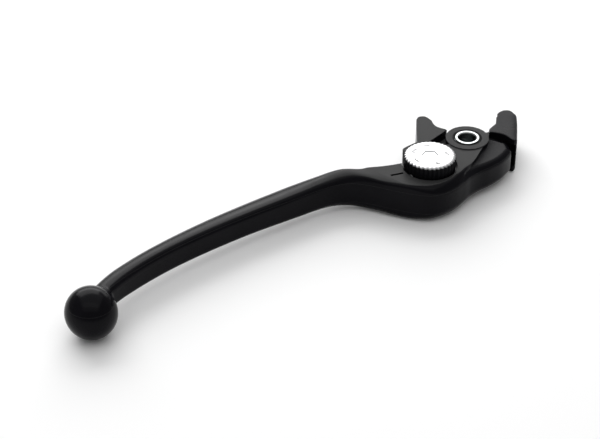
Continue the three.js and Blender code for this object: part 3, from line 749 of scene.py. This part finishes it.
def dial_with_painted_shade():
    """Turned metal top and edge, a side painted near black as shade, and black in the engraved
    numbers.
    """
    look = Look("dial_with_painted_shade")
    marks, radius = look.rings(DIAL, 0.1)
    unshaded_metal = look.over(look.z, DIAL_SHADE_TOP)
    engraved = look.compute("MULTIPLY", look.under(look.z, DIAL_SUNK),
                            look.under(radius, DIGIT_RING))
    shine = look.colour(look.noise(220, 4), (0.40, 0.40, 0.405), (0.5, 0.5, 0.505))
    face = look.colour(engraved, shine, (0.02, 0.02, 0.02))
    rough = look.compute("ADD", look.ramp(marks, 0.2, 0.3),
                         look.compute("MULTIPLY", engraved, 0.3))
    # Under that height the dial's side gets a near-black, non-metal colour: painted shade in
    # place of its dark reflection.
    look.shade(Base_Color=look.colour(unshaded_metal, (0.006, 0.006, 0.007), face), Metallic=unshaded_metal,
               Roughness=rough, Specular_IOR_Level=0.03)
    look.bump(marks, 0.003, 0.4)
    return look.material


def plain_metal(name, colour, rough, scale):
    look = Look(name)
    grain = look.noise(scale, 3)
    cloud = look.ramp(look.noise(160, 4), 0, 1)
    look.shade(Metallic=1.0, Base_Color=look.colour(cloud, tinted(colour, 0.868), colour),
               Roughness=look.ramp(grain, rough * 0.8, rough * 1.3))
    look.bump(grain, 0.01, 0.3)
    return look.material


def soft_rubber(name):
    look = Look(name)
    grain = look.noise(1500, 2)
    look.shade(Base_Color=look.colour(grain, (0.003, 0.003, 0.003), (0.008, 0.008, 0.008)),
               Roughness=look.ramp(grain, 0.6, 0.85), Specular_IOR_Level=0.1)
    look.bump(grain, 0.03, 0.4)
    return look.material


def floor_white():
    look = Look("floor_white")
    colour = look.colour(look.noise(6, 2), (0.93, 0.93, 0.93), (0.95, 0.95, 0.95))
    look.shade(Base_Color=colour, Roughness=0.7, Specular_IOR_Level=0.2)
    return look.material


LOOKS = {
    "blade_paint": coated_casting("blade_coat", 0.2, 0.01),
    "knocker_paint": coated_casting("knocker_coat", 0.26, 0.02),
    "bush_zinc": turned_metal("bright_zinc", (0.6, 0.63, 0.63), 0.14, (0, 0)),
    "shaft_steel": turned_metal("shaft_zinc", (0.5, 0.51, 0.52), 0.2, DIAL),
    "dial_aluminium": dial_with_painted_shade(),
    "small_steel": plain_metal("ground_steel", (0.55, 0.56, 0.57), 0.32, 400),
    "liner_bronze": plain_metal("sintered_bronze", (0.55, 0.36, 0.17), 0.45, 700),
    "seal_rubber": soft_rubber("seal_rubber"),
}


# ---- assembly -----------------------------------------------------------------------------
def place(piece, body, node, slot_name):
    piece.data.materials.clear()
    piece.data.materials.append(LOOKS[slot_name])
    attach(piece, body)
    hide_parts(node)


# Each casting's grid: its lowest and highest corner, and the size of its cells.
BLADE_GRID = ((-195.1, -24.2, -11.3), (13.4, 24.4, 11.3), 0.45)
KNOCKER_GRID = ((-30.3, -17.6, -9.1), (30.4, 26.1, 9.1), 0.9 * BLADE_GRID[2])
blade_piece = skin("lever_blade_casting", lever_blade, *BLADE_GRID)
knocker_piece = skin("knocker_casting", knocker, *KNOCKER_GRID)
blade_piece = soften(carve(blade_piece, index_mark()), SHARP_ANGLE)
place(blade_piece, "blade", "lever_blade", "blade_paint")
place(knocker_piece, "knocker", "knocker", "knocker_paint")
place(dial(), "dial", "adjuster_dial", "dial_aluminium")
place(bush(), "pivot", "pivot_bush", "bush_zinc")

slots = {row["node"]: row["material_slot"] for row in frame["record"]["subparts"]}
for name, node in frame["nodes"].items():
    for entry in node.material_slots:
        entry.material = LOOKS[slots[name]]


# ---- stage, in metres ---------------------------------------------------------------------
FLOOR_REACH = 3.0
VIEW = Vector((0.4862, 0.65926, -0.573576))
VIEW_FROM = (-0.43379, -0.47042, 0.41193)
LENS = 108                          # millimetres, on a sensor 36 wide
AHEAD = Vector((0.5936, 0.8048, 0.0))
ASIDE = Vector((0.8048, -0.5936, 0.0))
MIDDLE = Vector((-0.095, 0.0, 0.0))
# Softboxes: name, how far ahead of the lever, aside and up they hang, width, depth, watts.
SOFTBOXES = (
    ("overhead", 0.2, 0.0, 1.3, 2.2, 2.2, 10.5),
    ("key", 0.85, -0.25, 0.7, 1.3, 0.8, 9),
    ("back", 1.2, 0.0, 0.4, 1.8, 0.4, 4),
    ("front", -0.6, 0.0, 1.0, 1.5, 0.8, 1.6),
)
WORLD_STRENGTH = 0.33


def floor():
    """The lever lies on its bush and its ball, so the floor slopes a little between them."""
    slope = (BUSH[2] - BALL[2]) / BALL[0]
    corners = ((-1, -1), (1, -1), (1, 1), (-1, 1))
    mesh = bpy.data.meshes.new("floor")
    mesh.from_pydata([(FLOOR_REACH * x, FLOOR_REACH * y, slope * FLOOR_REACH * x - BUSH[2] * MM)
                      for x, y in corners], [], [(0, 1, 2, 3)])
    ground = put("floor", mesh)
    ground.data.materials.append(floor_white())


def softbox(name, ahead, aside, up, width, depth, watts):
    light = bpy.data.lights.new(name, "AREA")
    light.shape = "RECTANGLE"
    light.size = width
    light.size_y = depth
    light.energy = watts
    lamp = put(name, light)
    lamp.location = MIDDLE + AHEAD * ahead + ASIDE * aside + Vector((0, 0, up))
    lamp.rotation_euler = (MIDDLE - lamp.location).to_track_quat("-Z", "Y").to_euler()


floor()
for row in SOFTBOXES:
    softbox(*row)

world = bpy.data.worlds.new("studio")
bpy.context.scene.world = world
world.use_nodes = True
world.node_tree.nodes["Background"].inputs["Color"].default_value = (1, 1, 1, 1)
world.node_tree.nodes["Background"].inputs["Strength"].default_value = WORLD_STRENGTH

camera = put("camera", bpy.data.cameras.new("camera"))
camera.location = VIEW_FROM
camera.rotation_euler = VIEW.to_track_quat("-Z", "Y").to_euler()
camera.data.lens = LENS
camera.data.sensor_width = 36
camera.data.clip_start = 0.01
camera.data.clip_end = 20
bpy.context.scene.camera = camera
bpy.context.scene.view_settings.view_transform = "Standard"
